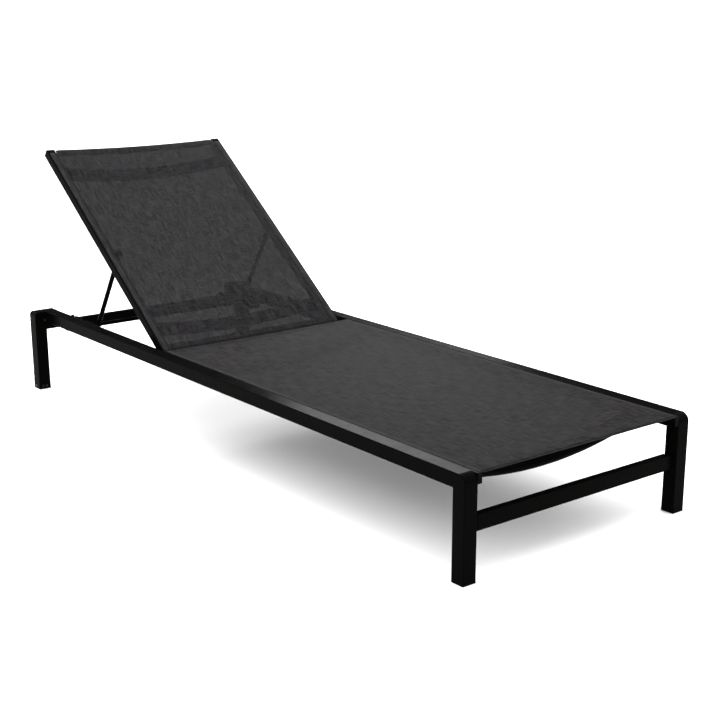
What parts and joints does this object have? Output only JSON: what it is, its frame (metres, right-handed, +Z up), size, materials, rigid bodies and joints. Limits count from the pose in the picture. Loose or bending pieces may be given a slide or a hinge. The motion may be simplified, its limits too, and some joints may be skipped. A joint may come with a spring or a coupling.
{
  "type": "sun lounger",
  "caption": "Reclining sun lounger: a low rectangular-tube frame on square legs, a stretched sling seat and a hinged sling back held by a stay in notched racks.",
  "frame": {"origin": "On the ground under the middle of the lounger: halfway between the foot legs' foot-facing faces and the head legs' rear faces, and on the plane of symmetry.", "axes": "+X to the right seen from the foot end, +Y along the lounger towards its head end, +Z up."},
  "size_m": [0.8038, 2.0082, 0.7481],
  "materials": {
    "frame_black": "black powder coat over aluminium tube, low sheen",
    "sling_charcoal": "woven PVC-coated polyester mesh, charcoal",
    "black_plastic": "moulded black polypropylene",
    "stainless": "stainless steel fixings, blackened heads",
    "rubber": "soft black rubber"
  },
  "bodies": {
    "base": {"channel_end_caps": "black_plastic", "connector_screws": "stainless", "crossbar_plugs": "black_plastic", "foot_connector_left": "black_plastic", "foot_connector_right": "black_plastic", "foot_crossbar": "frame_black", "foot_glide_left": "black_plastic", "foot_glide_right": "black_plastic", "foot_leg_left": "frame_black", "foot_leg_right": "frame_black", "glide_rivets": "stainless", "head_connector_left": "black_plastic", "head_connector_right": "black_plastic", "head_crossbar": "frame_black", "head_glide_left": "black_plastic", "head_glide_right": "black_plastic", "head_leg_left": "frame_black", "head_leg_right": "frame_black", "leg_screws": "stainless", "pivot_bolt_left": "stainless", "pivot_bolt_right": "stainless", "pivot_spacer_left": "black_plastic", "pivot_spacer_right": "black_plastic", "rack_screws": "stainless", "rail_left": "frame_black", "rail_right": "frame_black", "recline_rack_left": "frame_black", "recline_rack_right": "frame_black", "rest_buffers": "rubber", "seat_keder_left": "black_plastic", "seat_keder_right": "black_plastic", "seat_sling": "sling_charcoal", "seat_spreader_foot": "frame_black", "seat_spreader_head": "frame_black", "sling_channel_left": "frame_black", "sling_channel_right": "frame_black", "spreader_screws": "stainless"},
    "backrest": {"back_keder_left": "black_plastic", "back_keder_right": "black_plastic", "back_sling": "sling_charcoal", "back_spreader_low": "frame_black", "back_spreader_top": "frame_black", "back_tube_caps": "black_plastic", "back_tube_left": "frame_black", "back_tube_right": "frame_black", "stay_bracket_left": "frame_black", "stay_bracket_right": "frame_black", "stay_pin_left": "stainless", "stay_pin_right": "stainless"},
    "stay": {"stay_arm_left": "frame_black", "stay_arm_right": "frame_black", "stay_rod": "frame_black"}
  },
  "joints": [
    {"name": "backrest_recline", "type": "hinge", "parent": "base", "child": "backrest", "pos_m": [0, 0.328, 0.232], "axis": [1, 0, 0], "range_deg": [-37, 6]},
    {"name": "stay_swing", "type": "hinge", "parent": "backrest", "child": "stay", "pos_m": [0, 0.64186, 0.46851], "axis": [1, 0, 0], "range_deg": [-16, 95]}
  ],
  "couplings": [
    {"joint": "stay_swing", "follows": "backrest_recline", "ratio": -2.5443}
  ]
}
